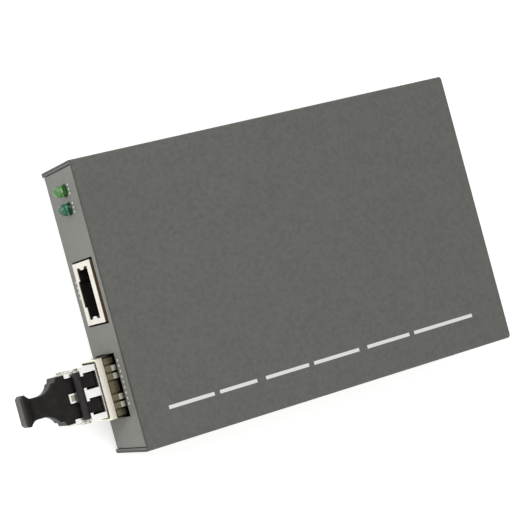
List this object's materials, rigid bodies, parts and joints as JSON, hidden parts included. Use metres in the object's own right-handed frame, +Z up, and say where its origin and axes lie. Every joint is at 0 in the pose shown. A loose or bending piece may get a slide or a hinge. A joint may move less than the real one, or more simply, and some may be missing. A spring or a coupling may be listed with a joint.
{
  "type": "fibre media converter",
  "caption": "Sheet-metal box that joins a copper network socket to an optical module; the module has a wire bail and a black dust plug in its ports.",
  "frame": {"origin": "middle of the case's underside", "axes": "+X right as the front panel is faced, +Y to the rear, +Z up; the front panel faces -Y"},
  "size_m": [0.0724, 0.1319, 0.0229],
  "materials": {
    "painted_top": "fine dark warm-grey powder coat",
    "painted_tray": "warm-grey powder coat",
    "black_steel": "blackened steel",
    "plated_steel": "tin-plated",
    "board_laminate": "green solder mask",
    "socket_plate": "bright nickel plate",
    "black_moulding": "black moulded plastic",
    "gold_plate": "gold-plated",
    "green_lens": "tinted clear lens",
    "teal_lens": "tinted clear lens",
    "cage_plate": "plated sheet",
    "spring_plate": "plated spring sheet",
    "cast_nose": "bright plated casting",
    "module_plate": "plated sheet",
    "module_laminate": "green solder mask",
    "barrel_metal": "turned metal",
    "bail_metal": "polished sheet",
    "black_sleeve": "black moulded sleeve",
    "black_rubber": "satin black rubber",
    "chip_body": "moulded package",
    "sink_metal": "black anodised",
    "can_metal": "drawn can",
    "capacitor_sleeve": "shrink sleeve",
    "coil_ferrite": "ferrite"
  },
  "bodies": {
    "chassis": {"top_cover": "painted_top", "base_tray": "painted_tray", "cover_screws": "black_steel", "board_standoffs": "plated_steel", "board_screws": "plated_steel", "circuit_board": "board_laminate", "copper_socket_shield": "socket_plate", "copper_socket_insert": "black_moulding", "copper_socket_contacts": "gold_plate", "link_lamp": "green_lens", "fibre_lamp": "teal_lens", "lamp_holder": "black_moulding", "lamp_leads": "plated_steel", "module_cage": "cage_plate", "cage_spring_collar": "spring_plate", "module_connector": "black_moulding", "module_housing": "cast_nose", "module_shell": "module_plate", "module_board": "module_laminate", "transmit_barrel": "barrel_metal", "receive_barrel": "barrel_metal", "power_inlet_body": "black_moulding", "power_inlet_pin": "gold_plate", "power_inlet_spring": "plated_steel", "converter_chip": "chip_body", "heat_sink": "sink_metal", "socket_transformer": "chip_body", "clock_crystal": "can_metal", "filter_capacitors": "capacitor_sleeve", "power_coil": "coil_ferrite", "voltage_regulator": "chip_body"},
    "bail": {"release_bail": "bail_metal", "bail_sleeve": "black_sleeve"},
    "latch": {"latch_rocker": "bail_metal"},
    "plug": {"dust_plug": "black_rubber"}
  },
  "joints": [
    {"name": "bail_hinge", "type": "hinge", "parent": "chassis", "child": "bail", "pos_m": [0, -0.0653, 0.006], "axis": [1, 0, 0], "range_deg": [0, 30]},
    {"name": "latch_hinge", "type": "hinge", "parent": "chassis", "child": "latch", "pos_m": [0.01935, -0.0575, 0.00545], "axis": [1, 0, 0], "range_deg": [0, 1.5]},
    {"name": "plug_slide", "type": "slide", "parent": "chassis", "child": "plug", "axis": [0, -1, 0], "range_m": [0, 0.0082]}
  ],
  "couplings": [
    {"joint": "latch_hinge", "follows": "bail_hinge", "ratio": 0.048}
  ]
}
